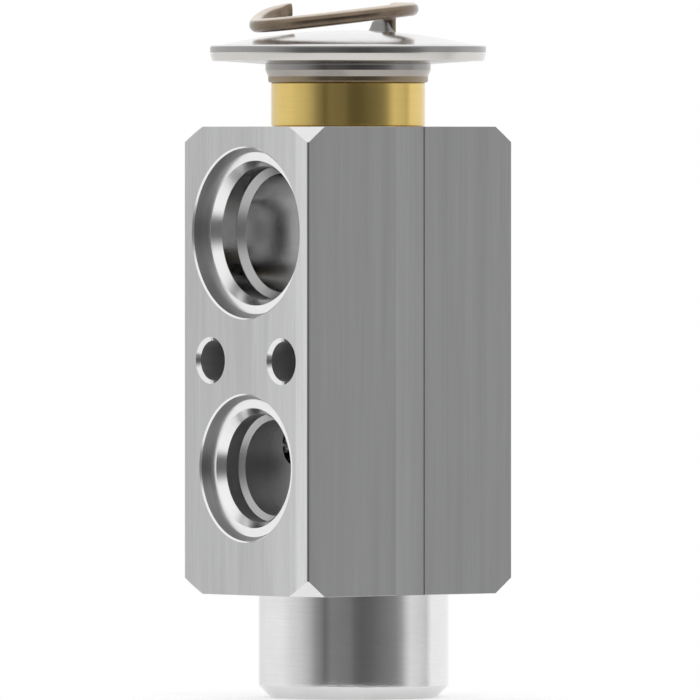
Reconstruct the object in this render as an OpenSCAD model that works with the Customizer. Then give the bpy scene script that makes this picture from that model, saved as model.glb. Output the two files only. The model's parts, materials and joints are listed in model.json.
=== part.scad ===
// Block-type expansion valve of a refrigerant circuit, in millimetres.
// The origin is on the valve's own axis, level with the foot of the boss, and +Z is up.
// The face with the two front ports looks to -Y, a plain wide side of the bar to +X.

/* [Bar and boss] */
// Width of the bar, across its two plain sides
block_w = 28; // [26:0.5:36]
// Depth of the bar, from port face to port face
block_d = 37; // [35:0.5:48]
// Length of the bar
block_h = 66; // [65:0.1:80]
// Radius on the long edges of the bar
edge_r = 0.3; // [0.2:0.1:1.5]
// Width of the shallow channel down the middle of each plain side
channel_w = 5.1; // [4:0.1:7]
// Depth of that channel
channel_t = 0.15; // [0.1:0.05:0.4]
// How far the turned 45 degree trim reaches down the corners at both ends
corner_trim = 2.2; // [0.5:0.1:3]
// Length of the round boss under the bar
boss_h = 14.7; // [13:0.1:20]
// Diameter of the round boss
boss_d = 26.9; // [22:0.1:27]
// How far the boss's axis lies off the valve's own, towards the rear face
boss_shift = 1; // [0:0.1:1.5]
// Chamfer round the foot of the boss
boss_chamfer = 1.7; // [0.4:0.1:2.5]

/* [Suction ports] */
// Distance from the top of the bar down to the suction passage's axis
suction_drop = 15; // [14:0.1:16]
// Diameter of the suction passage through the bar
suction_d = 16.8; // [14:0.1:17.5]
// Diameter of the pipe bore at both ends of the suction passage
suction_pipe_d = 18.8; // [18:0.1:20]
// Depth of that pipe bore from the face
suction_pipe_l = 5.8; // [4:0.1:8]
// How much wider than that bore the cone at its mouth starts
suction_cone = 0.8; // [0.3:0.1:1]
// Length of that cone
suction_cone_l = 1.4; // [0.3:0.1:1.5]
// Length of the drill's cone between the pipe bore and the passage
suction_shoulder_l = 0.9; // [0.1:0.1:1.5]
// Diameter of the seal recess at the face
suction_seal_d = 24.2; // [22:0.1:24.6]
// Depth of the seal recess
suction_seal_l = 1.8; // [1:0.1:2.5]

/* [Liquid ports] */
// Height of the outlet port above the bottom of the bar
outlet_rise = 17.9; // [17:0.1:20]
// Diameter of the outlet's inner bore
outlet_d = 13.5; // [12:0.1:14.5]
// Depth of the outlet's inner bore from the face
outlet_l = 9; // [7:0.1:10]
// Diameter of the outlet's pipe bore
outlet_pipe_d = 15.3; // [14.8:0.1:17]
// Depth of the outlet's pipe bore
outlet_pipe_l = 4.8; // [4:0.1:6]
// How much wider than that bore the cone at its mouth starts
outlet_cone = 0.8; // [0.3:0.1:1]
// Length of that cone
outlet_cone_l = 1.2; // [0.3:0.1:1.5]
// Length of the drill's cone between the pipe bore and the inner bore
outlet_shoulder_l = 0.5; // [0.1:0.1:1.5]
// Diameter of the seal recess round the outlet
outlet_seal_d = 20.8; // [19:0.1:22]
// Depth of that seal recess
outlet_seal_l = 1.4; // [1:0.1:2]
// Height of the inlet port above the bottom of the bar
inlet_rise = 12.8; // [12:0.1:14]
// Diameter of the inlet's pipe bore
inlet_pipe_d = 11.5; // [10:0.1:13]
// Depth of the inlet's pipe bore
inlet_pipe_l = 9; // [7:0.1:10]
// Chamfer at that bore's mouth
inlet_cone = 0.3; // [0.1:0.1:0.8]
// Diameter of the seal recess round the inlet
inlet_seal_d = 16.4; // [15:0.1:18]
// Depth of that seal recess
inlet_seal_l = 1.4; // [1:0.1:2]
// Diameter of the drilling from the inlet to the spring chamber
inlet_drill_d = 5.6; // [4:0.1:6]

/* [Fixing holes] */
// Distance from the suction axis down to the bolt holes
bolt_drop = 18; // [17:0.1:19]
// Distance between the two bolt holes
bolt_pitch = 16; // [14.5:0.1:18]
// Diameter of the bolt holes
bolt_d = 5.6; // [5:0.1:6.2]
// Chamfer at the bolt holes' mouths
bolt_chamfer = 0.5; // [0.2:0.1:0.8]
// Diameter of the threaded hole in the rear face
clamp_d = 5; // [4:0.1:6]
// Depth of that threaded hole
clamp_l = 12; // [8:0.5:14]

/* [Valve seat and spring chamber] */
// Distance from the outlet's axis down to the top of the spring chamber
seat_drop = 3.1; // [2.6:0.1:3.6]
// Outer diameter of the pressed-in orifice ring
ring_d = 9; // [8.6:0.1:10]
// Height of the orifice ring
ring_h = 3.5; // [3:0.1:4]
// Diameter of the orifice
orifice_d = 3.6; // [3.2:0.1:4]
// Diameter of the ball
ball_d = 5.6; // [5:0.1:6]
// Diameter of the chamber above the orifice ring
outlet_room_d = 8; // [7:0.1:8.4]
// Height of that chamber
outlet_room_h = 7; // [6.6:0.1:8]
// Diameter of the crossing from that chamber to the outlet
crossing_d = 6; // [5:0.1:6.4]
// Diameter of the spring chamber
chamber_d = 13.8; // [13.4:0.1:14.4]
// How far the valve train can open
valve_lift = 0.8; // [0.4:0.1:1]

/* [Valve train] */
// Diameter of the sensing rod where it crosses the suction passage
rod_d = 6; // [5:0.1:7]
// Diameter of the sensing rod where the bar guides it
stem_d = 3; // [2.6:0.1:3.4]
// Diameter of the stem's tip, through the orifice
tip_d = 2; // [1.6:0.1:2.2]
// Depth of the seal pocket under the suction passage
pocket_l = 5; // [4.8:0.1:6]
// Diameter of the seal pocket
pocket_d = 8; // [7.6:0.1:8.6]
// Thickness of the rod's seal ring
rod_seal_t = 1.8; // [1.5:0.1:2]
// Height of the guide bush above the rod's seal
bush_h = 1.8; // [1.4:0.1:2]
// Thickness of the retainer that holds the bush
retainer_t = 0.6; // [0.4:0.1:0.8]
// Diameter of the ball carrier's flange
carrier_d = 11.2; // [10.8:0.1:11.6]
// Thickness of the ball carrier's flange
carrier_t = 1.6; // [1.2:0.1:2]
// Wire of the control spring
wire_d = 1.2; // [0.8:0.1:1.3]
// Outer diameter of the control spring
spring_d = 10.6; // [10:0.1:11]
// Number of turns of the control spring
spring_turns = 6; // [4:1:7]
// Thickness of the damping spring's sheet
damper_t = 0.25; // [0.15:0.05:0.35]
// Number of the damping spring's fingers
damper_fingers = 8; // [6:1:10]

/* [Adjuster] */
// How far the adjusting screw sits inside the boss
screw_recess = 1.5; // [1.2:0.1:2.5]
// Diameter of the adjusting screw's thread
thread_d = 15; // [14.6:0.1:16]
// Length of that thread
thread_l = 5.5; // [4.5:0.1:6]
// Length of the plain neck above the thread
neck_l = 5.4; // [5.2:0.1:6]
// Width across the flats of the hexagon socket
socket_af = 8; // [7:0.5:9]
// Depth of the hexagon socket
socket_l = 5; // [4.2:0.1:6]
// How far the screw travels each way
adjust_travel = 1; // [0.5:0.1:1.2]
// Thickness of the seal ring round the screw
adjuster_seal_t = 1.4; // [1.2:0.1:1.5]
// Thickness of the plate under the control spring
plate_t = 1; // [0.8:0.1:1.5]

/* [Power head] */
// Diameter of the brass collar
collar_d = 21.8; // [21.6:0.1:24]
// Height of the brass collar
collar_h = 6.2; // [6:0.1:8]
// Diameter of the collar's spigot in the bar
spigot_d = 18; // [17:0.1:18.6]
// Length of the spigot
spigot_l = 5.6; // [4.5:0.1:5.8]
// Bore through the collar, round the sensing rod
hub_bore_d = 12.4; // [11:0.1:13]
// Thickness of the seal ring under the collar
hub_seal_t = 1.3; // [1.2:0.1:1.4]
// Diameter of the head's rim
head_d = 39; // [36:0.5:44]
// Diameter of the lower shell's neck
neck_d = 22.6; // [22:0.1:24]
// Height of the neck under the rim
neck_h = 3.05; // [2.8:0.05:4]
// How far the neck's upper part stands out past its foot
step_t = 0.4; // [0:0.05:0.6]
// Height of the taper between the two
step_h = 0.9; // [0.5:0.05:1]
// How far the rim's edge leans in towards its underside
rim_lean = 0.3; // [0:0.05:0.5]
// How far the rim's underside drops towards the neck
rim_drop = 0.45; // [0:0.05:0.6]
// Width of the flat ring where both shells meet
clamp_w = 1.5; // [1:0.1:2]
// Thickness of both shells
sheet_t = 1.05; // [0.8:0.05:1.1]
// Thickness of the diaphragm
diaphragm_t = 0.15; // [0.1:0.05:0.25]
// Number of ripples in the diaphragm
ripples = 3; // [2:1:4]
// Height of the upper shell's dome above its rim
dome_h = 2.1; // [1.4:0.1:3]
// Diameter of the dome's foot
dome_foot_d = 36; // [32:0.5:36]

/* [Capillary] */
// Diameter of the capillary tube
tube_d = 1.95; // [1.6:0.05:2.4]
// Radius of its loop
loop_r = 11; // [9:0.5:13]
// How far the loop's centre lies off the valve's axis
loop_shift = 2; // [0:0.5:3]
// Height of the loop's high side above the dome
loop_rise = 3; // [2.8:0.1:5]
// How much lower the loop's low side lies
loop_dip = 2.2; // [0:0.1:2.4]
// How far the tail climbs again behind the low side
tail_rise = 1.9; // [1:0.1:3]
// Turn of the loop about the valve's axis
loop_turn = 51; // [0:1:90]

/* [Hidden] */
$fn = 96;

// Clearances between neighbours
run_gap = 0.05;
rest_gap = 0.02;
stop_gap = 0.5;
over = 1;

// Levels of the bar
block_z = boss_h;
block_top = block_z + block_h;
suction_z = block_top - suction_drop;
outlet_z = block_z + outlet_rise;
inlet_z = block_z + inlet_rise;
bolt_z = suction_z - bolt_drop;
face_y = block_d / 2;
corner_r = norm([block_w / 2 - edge_r, block_d / 2 - edge_r]) + edge_r;

// Lands and tapers of the ports
mouth_taper = 0.7;
seal_land = 0.6;
drill_drop = 1.6;
crossing_z = outlet_z + 3.2;

// Levels of the seat and the ball, which rests in 45 degree cones above and below
seat_z = outlet_z - seat_drop;
ring_top = seat_z + ring_h;
room_top = ring_top + outlet_room_h;
seat_cone = 0.8;
seat_mouth_r = orifice_d / 2 + seat_cone;
ball_z = seat_z + seat_mouth_r - ball_d / sqrt(2) - rest_gap;
ball_top = ball_z + ball_d / 2;
cup_top = ball_z - 1.15;
cup_mouth_r = ball_d / sqrt(2) + rest_gap - (ball_z - cup_top);
cup_floor = ball_z - ball_d / 2 - 0.2;

// Ball carrier, damping spring and control spring
flange_top = cup_top - 1.1;
flange_z = flange_top - carrier_t;
spring_r = (spring_d - wire_d) / 2;
spring_seat_r = spring_r - wire_d / 2 - 0.2;
damper_drop = 4;
finger_r = chamber_d / 2 - run_gap - damper_t;

// Adjusting screw
thread_top = screw_recess + thread_l;
screw_top = thread_top + neck_l;
thread_bore_l = thread_top + adjust_travel + stop_gap;
groove_w = adjuster_seal_t + 0.4;
groove_z = screw_top - 0.9 - groove_w;
groove_r = chamber_d / 2 - adjuster_seal_t - 2 * run_gap;
plate_z = screw_top + rest_gap;
plate_top = plate_z + plate_t;
stub_h = 1.4;

// Seal pocket of the sensing rod
pocket_z = suction_z - suction_d / 2 - pocket_l;
rod_seal_r = stem_d / 2 + run_gap + rod_seal_t / 2;
bush_z = pocket_z + rod_seal_t + 2 * rest_gap;
retainer_z = bush_z + bush_h + rest_gap;
rod_foot = suction_z - suction_d / 2 + valve_lift + 1.4;

// Power head
hub_top = block_top + collar_h;
hub_seat_d = spigot_d + 2 * run_gap;
seal_pocket_r = spigot_d / 2 + hub_seal_t + 2 * run_gap;
seal_pocket_l = hub_seal_t + run_gap;
rim_z = hub_top + neck_h;
rim_top = rim_z + sheet_t;
cap_z = rim_top + diaphragm_t;
cap_rim_top = cap_z + sheet_t;
dome_top = cap_rim_top + dome_h;
rim_round = 0.4 * sheet_t;
foot_bend = 0.3;
neck_bend = 0.35;
step_low = hub_top + (neck_h - rim_drop - neck_bend - step_h) / 2 + 0.2;
collar_foot = 0.2;
collar_edge = 0.4;
lip_r = hub_bore_d / 2 + 0.8;
lip_h = sheet_t - 0.1;
plate_r = neck_d / 2 - sheet_t - 0.45;
plate_rim_t = 1;
plate_boss_h = 1;
rod_top = rim_top - rest_gap - plate_rim_t;

// Route of the capillary, in the plane of its own loop: a riser, an elbow, then the loop
tube_r = tube_d / 2;
elbow_r = 1.7;
loop_start = 30;
loop_end = -236;
loop_step = 7;
join_r = loop_r - 1;
loop_z = dome_top + loop_rise;

function ease(t) = let (c = min(1, max(0, t))) c * c * (3 - 2 * c);
function along(a, b, t) = a + (b - a) * t;
function unit(v) = v / norm(v);
function across(v, t) = unit(v - (v * t) * t);
function outward(angle) = [cos(angle), sin(angle), 0];

function loop_radius(a) = along(join_r, loop_r, ease((loop_start - a) / loop_start));
function loop_level(a) =
    a >= 0 ? loop_z
    : a >= -180 ? loop_z - loop_dip * (1 - cos(a)) / 2
    : loop_z - loop_dip + tail_rise * ease((-180 - a) / (-180 - loop_end));
function loop_point(a) = [-loop_shift, 0, loop_level(a)] + loop_radius(a) * outward(a);

loop_heading = unit(loop_point(loop_start - 1) - loop_point(loop_start));
elbow_foot = loop_point(loop_start) - elbow_r * loop_heading - [0, 0, elbow_r];
riser_top = cap_rim_top + dome(norm([elbow_foot[0], elbow_foot[1]]));
riser_foot = riser_top - sheet_t / 2;
riser = [for (z = [riser_foot, (riser_foot + elbow_foot[2]) / 2]) [elbow_foot[0], elbow_foot[1], z]];
elbow = [for (b = [0 : 15 : 75]) elbow_foot + elbow_r * ((1 - cos(b)) * loop_heading + [0, 0, sin(b)])];
loop = [for (a = [loop_start : -loop_step : loop_end]) loop_point(a)];
tube_route = concat(riser, elbow, loop);
tube_sides = concat([for (p = concat(riser, elbow)) outward(loop_start)],
                    [for (a = [loop_start : -loop_step : loop_end]) outward(a)]);
pinch_rings = 3;

// Tube along a route, with one side vector for each point. Its last rings may be pinched.
module sweep(route, sides, r, corners, pinched = 0) {
    last = len(route) - 1;
    rings = [
        for (i = [0 : last])
            let (t = unit(route[min(last, i + 1)] - route[max(0, i - 1)]),
                 n = across(sides[i], t),
                 m = cross(t, n),
                 k = pinched > 0 ? ease((i - last + pinched) / (pinched - 1)) : 0)
            for (j = [0 : corners - 1])
                let (b = 360 * j / corners)
                route[i] + r * (cos(b) * (1 - 0.55 * k) * n + sin(b) * (1 + 0.25 * k) * m)
    ];
    walls = [
        for (i = [0 : last - 1], j = [0 : corners - 1])
            let (a = i * corners + j, b = i * corners + (j + 1) % corners)
            each [[a, a + corners, b], [b, a + corners, b + corners]]
    ];
    foot = [for (j = [0 : corners - 1]) j];
    end = [for (j = [corners - 1 : -1 : 0]) last * corners + j];
    polyhedron(points = rings, faces = concat(walls, [foot, end]), convexity = 8);
}

// A bar with rounded long edges, standing on z = 0
module rounded_bar(w, d, h, r) {
    linear_extrude(h) {
        square([w - 2 * r, d], center = true);
        square([w, d - 2 * r], center = true);
        for (sx = [-1, 1], sy = [-1, 1])
            translate([sx * (w / 2 - r), sy * (d / 2 - r)]) circle(r, $fn = 32);
    }
}

// A turned body with a 45 degree chamfer at its foot, its head or both
module turned(r, h, foot = 0, head = 0) {
    rotate_extrude()
        polygon([[0, 0], [r - foot, 0], [r, foot], [r, h - head], [r - head, h], [0, h]]);
}

// A drilling into the front face (side = -1) or the rear face (side = 1), at height z
module face_bore(side, z, r, depth, mouth_r = 0) {
    translate([0, side * (face_y - depth), z])
        rotate([-side * 90, 0, 0]) {
            cylinder(r = r, h = depth + over);
            if (mouth_r > r) cylinder(r1 = r, r2 = mouth_r, h = depth);
        }
}

// A cone in a drilling, from its narrow end at a depth up to its wide end
module face_cone(side, z, r, depth, wide_r, l) {
    translate([0, side * (face_y - depth), z])
        rotate([-side * 90, 0, 0]) cylinder(r1 = r, r2 = wide_r, h = l);
}

// A port: tapered seal recess, pipe bore with a cone at its mouth, and the bore behind it
module port(side, z, seal_r, seal_l, cone, cone_l, pipe_r, pipe_l, bore_r, bore_l, shoulder_l = 0) {
    face_bore(side, z, seal_r - mouth_taper, seal_l, seal_r);
    face_bore(side, z, pipe_r, pipe_l);
    face_cone(side, z, pipe_r, seal_l + cone_l, pipe_r + cone, cone_l);
    face_bore(side, z, bore_r, bore_l);
    if (shoulder_l > 0) face_cone(side, z, bore_r, pipe_l + shoulder_l, pipe_r, shoulder_l);
}

module bolt_hole(x) {
    translate([x, 0, bolt_z]) rotate([90, 0, 0]) {
        cylinder(d = bolt_d, h = block_d + 2 * over, center = true);
        for (side = [-1, 1])
            translate([0, 0, side * (face_y - bolt_chamfer / 2)])
                cylinder(r1 = bolt_d / 2 + (side < 0 ? bolt_chamfer : 0),
                         r2 = bolt_d / 2 + (side > 0 ? bolt_chamfer : 0),
                         h = bolt_chamfer, center = true);
    }
}

// A vertical drilling on the valve's axis, from one level to another
module axis_bore(d, from, to) {
    translate([0, 0, from]) cylinder(d = d, h = to - from);
}

module bar_and_boss() {
    translate([0, boss_shift, 0]) turned(boss_d / 2, block_z + over, boss_chamfer);
    intersection() {
        translate([0, 0, block_z]) rounded_bar(block_w, block_d, block_h, edge_r);
        translate([0, 0, block_z]) turned(corner_r, block_h, corner_trim, corner_trim);
    }
}

module valve_block() {
    color("silver") difference() {
        bar_and_boss();
        for (side = [-1, 1])
            port(side, suction_z, suction_seal_d / 2, suction_seal_l, suction_cone, suction_cone_l,
                 suction_pipe_d / 2, suction_pipe_l, suction_d / 2, face_y, suction_shoulder_l);
        port(-1, outlet_z, outlet_seal_d / 2, outlet_seal_l, outlet_cone, outlet_cone_l,
             outlet_pipe_d / 2, outlet_pipe_l, outlet_d / 2, outlet_l, outlet_shoulder_l);
        port(1, inlet_z, inlet_seal_d / 2, inlet_seal_l, inlet_cone, inlet_cone,
             inlet_pipe_d / 2, inlet_pipe_l, inlet_drill_d / 2, inlet_pipe_l);
        for (side = [-1, 1])
            translate([side * block_w / 2 - channel_t, -channel_w / 2, block_z - over])
                cube([2 * channel_t, channel_w, block_h + 2 * over]);
        for (x = [-1, 1]) bolt_hole(x * bolt_pitch / 2);
        face_bore(1, bolt_z, clamp_d / 2, clamp_l);
        translate([0, 0, inlet_z - drill_drop]) rotate([-90, 0, 0])
            cylinder(d = inlet_drill_d, h = face_y - inlet_pipe_l + over);
        translate([0, 0, crossing_z]) rotate([90, 0, 0])
            cylinder(d = crossing_d, h = face_y - outlet_l + over);
        axis_bore(hub_seat_d, block_top - spigot_l - stop_gap, block_top + over);
        axis_bore(2 * seal_pocket_r, block_top - seal_pocket_l, block_top + over);
        axis_bore(hub_bore_d + 0.6, suction_z, block_top);
        axis_bore(pocket_d, pocket_z, suction_z);
        axis_bore(stem_d + 2 * run_gap, ring_top, suction_z);
        axis_bore(outlet_room_d, ring_top - over, room_top);
        axis_bore(ring_d, seat_z - over, ring_top);
        axis_bore(chamber_d, screw_recess, seat_z);
        axis_bore(thread_d + 2 * run_gap, -over, thread_bore_l);
    }
}

module power_hub() {
    color("goldenrod") difference() {
        rotate_extrude() polygon([
            [0, block_top - spigot_l], [spigot_d / 2 - 0.5, block_top - spigot_l],
            [spigot_d / 2, block_top - spigot_l + 0.5], [spigot_d / 2, block_top],
            [collar_d / 2 - collar_foot, block_top], [collar_d / 2, block_top + collar_foot],
            [collar_d / 2, hub_top - collar_edge], [collar_d / 2 - collar_edge, hub_top],
            [lip_r - rest_gap, hub_top], [lip_r - rest_gap, hub_top + lip_h], [0, hub_top + lip_h]]);
        axis_bore(hub_bore_d, block_top - spigot_l - over, hub_top + lip_h + over);
    }
}

module seal_ring(z, ring_r, t) {
    color("dimgray") translate([0, 0, z])
        rotate_extrude() translate([ring_r, 0]) circle(d = t, $fn = 24);
}

module hub_seal() {
    seal_ring(block_top - seal_pocket_l + hub_seal_t / 2 + rest_gap,
              spigot_d / 2 + run_gap + hub_seal_t / 2, hub_seal_t);
}

// Points of an arc in a profile
function arc(c, r, from, to, n = 8) =
    [for (i = [0 : n]) c + r * [cos(along(from, to, i / n)), sin(along(from, to, i / n))]];

module lower_shell() {
    foot_r = neck_d / 2;
    neck_r = foot_r + step_t;
    inner = foot_r - sheet_t;
    flat_r = head_d / 2 - clamp_w;
    edge = rim_round / 2;
    color("lightgray") rotate_extrude() polygon(concat(
        [[lip_r, hub_top]],
        arc([foot_r - foot_bend, hub_top + foot_bend], foot_bend, -90, 0),
        [[foot_r, step_low], [neck_r, step_low + step_h]],
        arc([neck_r + neck_bend, rim_z - rim_drop - neck_bend], neck_bend, 180, 90),
        [[flat_r, rim_z]],
        arc([head_d / 2 - rim_lean - edge, rim_z + edge], edge, -90, 0),
        [[head_d / 2, rim_top], [flat_r, rim_top]],
        arc([inner + neck_bend, rim_top - rim_drop - neck_bend], neck_bend, 90, 180),
        [[inner, hub_top + sheet_t], [lip_r, hub_top + sheet_t]]));
}

// Height of the dome above the upper shell's rim, at radius r
function dome(r) = dome_h * (1 - pow(2 * r / dome_foot_d, 2));

module upper_shell() {
    steps = 12;
    radii = [for (i = [0 : steps]) along(dome_foot_d / 2, 0, i / steps)];
    color("lightgray") difference() {
        union() {
            rotate_extrude() polygon(concat(
                [[head_d / 2, cap_z]],
                arc([head_d / 2 - rim_round, cap_rim_top - rim_round], rim_round, 0, 90),
                [for (r = radii) [r, cap_rim_top + dome(r)]],
                [for (i = [steps : -1 : 0]) [radii[i], cap_z + dome(radii[i])]]));
            rotate([0, 0, loop_turn]) translate([elbow_foot[0], elbow_foot[1], riser_top - 0.4])
                cylinder(r1 = tube_r + 0.9, r2 = tube_r + 0.35, h = 1);
        }
        rotate([0, 0, loop_turn]) translate([elbow_foot[0], elbow_foot[1], riser_foot - over])
            cylinder(r = tube_r + rest_gap, h = dome_h + 3 * over);
    }
}

// Thin disc, clamped between the shells, with ripples round its middle
module diaphragm() {
    steps = 12 * ripples;
    inner = plate_r + 0.6;
    outer = dome_foot_d / 2 - 2.4;
    ripple_h = 0.25;
    wave = [for (i = [0 : steps])
        [along(outer, inner, i / steps), ripple_h * (1 - cos(360 * ripples * i / steps)) / 2]];
    color("gainsboro") rotate_extrude() polygon(concat(
        [[0, rim_top], [inner, rim_top]],
        [for (i = [steps : -1 : 0]) [wave[i][0], wave[i][1] + rim_top]],
        [[head_d / 2 - 0.3, rim_top], [head_d / 2 - 0.3, cap_z]],
        [for (p = wave) [p[0], p[1] + cap_z]],
        [[0, cap_z]]));
}

module diaphragm_plate() {
    top = rim_top - rest_gap;
    foot = top - plate_rim_t - plate_boss_h;
    color("tan") difference() {
        rotate_extrude() polygon([
            [0, foot], [rod_d / 2 + 1.2, foot], [rod_d / 2 + 1.6, top - plate_rim_t],
            [plate_r - 0.3, top - plate_rim_t], [plate_r, top - plate_rim_t + 0.3],
            [plate_r, top - 0.3], [plate_r - 0.3, top], [0, top]]);
        axis_bore(rod_d + 2 * run_gap, foot - over, top - plate_rim_t);
    }
}

module capillary_tube() {
    color("sienna") rotate([0, 0, loop_turn]) sweep(tube_route, tube_sides, tube_r, 12, pinch_rings);
}

module sensing_rod() {
    tip_top = ring_top + 1.5;
    stem_r = stem_d / 2;
    tip_r = tip_d / 2;
    color("gainsboro") rotate_extrude() polygon([
        [0, ball_top + rest_gap], [tip_r - 0.2, ball_top + rest_gap], [tip_r, ball_top + 0.2],
        [tip_r, tip_top], [stem_r, tip_top + 0.6], [stem_r, rod_foot],
        [rod_d / 2 - 0.5, rod_foot], [rod_d / 2, rod_foot + 0.5],
        [rod_d / 2, rod_top - 0.3], [rod_d / 2 - 0.3, rod_top - rest_gap], [0, rod_top - rest_gap]]);
}

module rod_seal() {
    seal_ring(pocket_z + rod_seal_t / 2 + rest_gap, rod_seal_r, rod_seal_t);
}

module rod_bush() {
    color("tan") difference() {
        translate([0, 0, bush_z]) turned(pocket_d / 2 - rest_gap, bush_h, 0.3, 0.3);
        axis_bore(stem_d + 2 * run_gap, bush_z - over, bush_z + bush_h + over);
    }
}

// Spring washer that bites into the pocket's wall with its teeth
module seal_retainer() {
    teeth = 6;
    color("gray") difference() {
        translate([0, 0, retainer_z]) cylinder(d = pocket_d - 2 * rest_gap, h = retainer_t);
        axis_bore(stem_d + 1, retainer_z - over, retainer_z + retainer_t + over);
        for (i = [1 : teeth]) rotate([0, 0, 360 * i / teeth])
            translate([pocket_d / 2, 0, retainer_z - over]) cylinder(r = 0.7, h = retainer_t + 2 * over, $fn = 24);
    }
}

module orifice_ring() {
    r = ring_d / 2 - rest_gap;
    color("gray") difference() {
        translate([0, 0, seat_z]) turned(r, ring_h - rest_gap, 0, 0.3);
        axis_bore(orifice_d, seat_z - over, ring_top + over);
        translate([0, 0, seat_z - over])
            cylinder(r1 = seat_mouth_r + over, r2 = orifice_d / 2, h = over + seat_cone);
    }
}

module valve_ball() {
    color("silver") translate([0, 0, ball_z]) sphere(d = ball_d);
}

module ball_carrier() {
    hub_r = cup_mouth_r + 0.7;
    floor_r = cup_mouth_r - (cup_top - cup_floor);
    color("goldenrod") rotate_extrude() polygon([
        [0, flange_z - stub_h], [spring_seat_r - 0.4, flange_z - stub_h],
        [spring_seat_r, flange_z - stub_h + 0.4], [spring_seat_r, flange_z],
        [carrier_d / 2, flange_z], [carrier_d / 2, flange_top],
        [hub_r, flange_top], [hub_r, cup_top], [cup_mouth_r, cup_top],
        [floor_r, cup_floor], [0, cup_floor]]);
}

// Sheet ring on the carrier's flange, whose fingers rub on the chamber's wall
module damping_spring() {
    hole_r = cup_mouth_r + 0.7 + rest_gap;
    z = flange_top + rest_gap;
    share = 0.55;
    color("lightsteelblue") {
        translate([0, 0, z]) difference() {
            cylinder(r = finger_r - 0.8, h = damper_t);
            translate([0, 0, -over]) cylinder(r = hole_r, h = damper_t + 2 * over);
        }
        for (i = [1 : damper_fingers]) rotate([0, 0, 360 * i / damper_fingers])
            rotate_extrude(angle = share * 360 / damper_fingers) polygon([
                [finger_r - 1, z], [finger_r - 0.5, z], [finger_r, z - 0.6],
                [finger_r, z - damper_drop], [finger_r + damper_t, z - damper_drop],
                [finger_r + damper_t, z - 0.6 + damper_t], [finger_r - 0.3, z + damper_t],
                [finger_r - 1, z + damper_t]]);
    }
}

// Level of a coil's wire after t of n turns between two seats, with closed end turns
function coil_level(t, n, low, high) =
    let (first = low + wire_d / 2, last = high - wire_d / 2)
    t < 1 ? first + wire_d * t
    : t > n - 1 ? last - wire_d * (n - t)
    : along(first + wire_d, last - wire_d, (t - 1) / (n - 2));

module control_spring() {
    low = plate_top + rest_gap;
    high = flange_z - rest_gap;
    steps = 20;
    turns = [for (i = [0 : steps * spring_turns]) i / steps];
    sides = [for (t = turns) outward(360 * t)];
    route = [for (t = turns)
        spring_r * outward(360 * t) + [0, 0, coil_level(t, spring_turns, low, high)]];
    color("slategray") sweep(route, sides, 0.98 * wire_d / 2, 8);
}

module spring_plate() {
    color("tan") rotate_extrude() polygon([
        [0, plate_z], [chamber_d / 2 - 0.5, plate_z], [chamber_d / 2 - 0.5, plate_top],
        [spring_seat_r, plate_top], [spring_seat_r, plate_top + stub_h - 0.4],
        [spring_seat_r - 0.4, plate_top + stub_h], [0, plate_top + stub_h]]);
}

module adjuster_seal() {
    seal_ring(groove_z + groove_w / 2, chamber_d / 2 - run_gap - adjuster_seal_t / 2, adjuster_seal_t);
}

module adjusting_screw() {
    color("darkkhaki") difference() {
        rotate_extrude() polygon([
            [0, screw_recess], [thread_d / 2 - 0.8, screw_recess], [thread_d / 2, screw_recess + 0.8],
            [thread_d / 2, thread_top - 0.5], [thread_d / 2 - 0.5, thread_top],
            [chamber_d / 2 - run_gap, thread_top], [chamber_d / 2 - run_gap, groove_z],
            [groove_r, groove_z], [groove_r, groove_z + groove_w],
            [chamber_d / 2 - run_gap, groove_z + groove_w],
            [chamber_d / 2 - run_gap, screw_top - 0.3], [chamber_d / 2 - run_gap - 0.3, screw_top],
            [0, screw_top]]);
        translate([0, 0, screw_recess - over])
            cylinder(r = socket_af / 2 / cos(30), h = socket_l + over, $fn = 6);
        translate([0, 0, screw_recess - over])
            cylinder(r1 = socket_af / 2 / cos(30) + over, r2 = socket_af / 2, h = over + 0.6);
    }
}

valve_block();
power_hub();
hub_seal();
lower_shell();
upper_shell();
diaphragm();
diaphragm_plate();
capillary_tube();
sensing_rod();
rod_seal();
rod_bush();
seal_retainer();
orifice_ring();
valve_ball();
ball_carrier();
damping_spring();
control_spring();
spring_plate();
adjuster_seal();
adjusting_screw();
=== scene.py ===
# Block-type expansion valve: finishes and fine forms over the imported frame.
# Metres, +Z up, the front ports look to -Y and a plain side to +X.
import json
import math

import bpy
from mathutils import Matrix, Vector


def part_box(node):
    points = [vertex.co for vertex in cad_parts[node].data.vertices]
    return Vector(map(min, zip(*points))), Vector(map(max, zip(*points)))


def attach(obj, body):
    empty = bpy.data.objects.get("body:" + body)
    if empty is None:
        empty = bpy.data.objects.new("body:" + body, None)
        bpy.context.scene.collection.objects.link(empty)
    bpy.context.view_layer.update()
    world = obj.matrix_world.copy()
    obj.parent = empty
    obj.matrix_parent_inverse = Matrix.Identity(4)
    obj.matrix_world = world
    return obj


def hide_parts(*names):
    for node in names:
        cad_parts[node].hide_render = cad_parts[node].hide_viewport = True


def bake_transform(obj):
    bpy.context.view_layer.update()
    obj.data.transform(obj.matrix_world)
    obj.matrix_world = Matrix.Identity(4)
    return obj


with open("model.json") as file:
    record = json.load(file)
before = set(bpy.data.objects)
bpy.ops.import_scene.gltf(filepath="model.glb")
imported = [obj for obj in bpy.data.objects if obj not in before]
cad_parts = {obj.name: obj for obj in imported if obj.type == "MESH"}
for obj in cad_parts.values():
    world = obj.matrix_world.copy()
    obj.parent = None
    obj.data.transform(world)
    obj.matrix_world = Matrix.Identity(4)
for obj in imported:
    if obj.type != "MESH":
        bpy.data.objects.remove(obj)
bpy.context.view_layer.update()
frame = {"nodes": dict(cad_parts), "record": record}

MM = 0.001
ROUND_STEPS = 128
WELD = 1e-7
SMOOTH_ANGLE = 30
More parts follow.
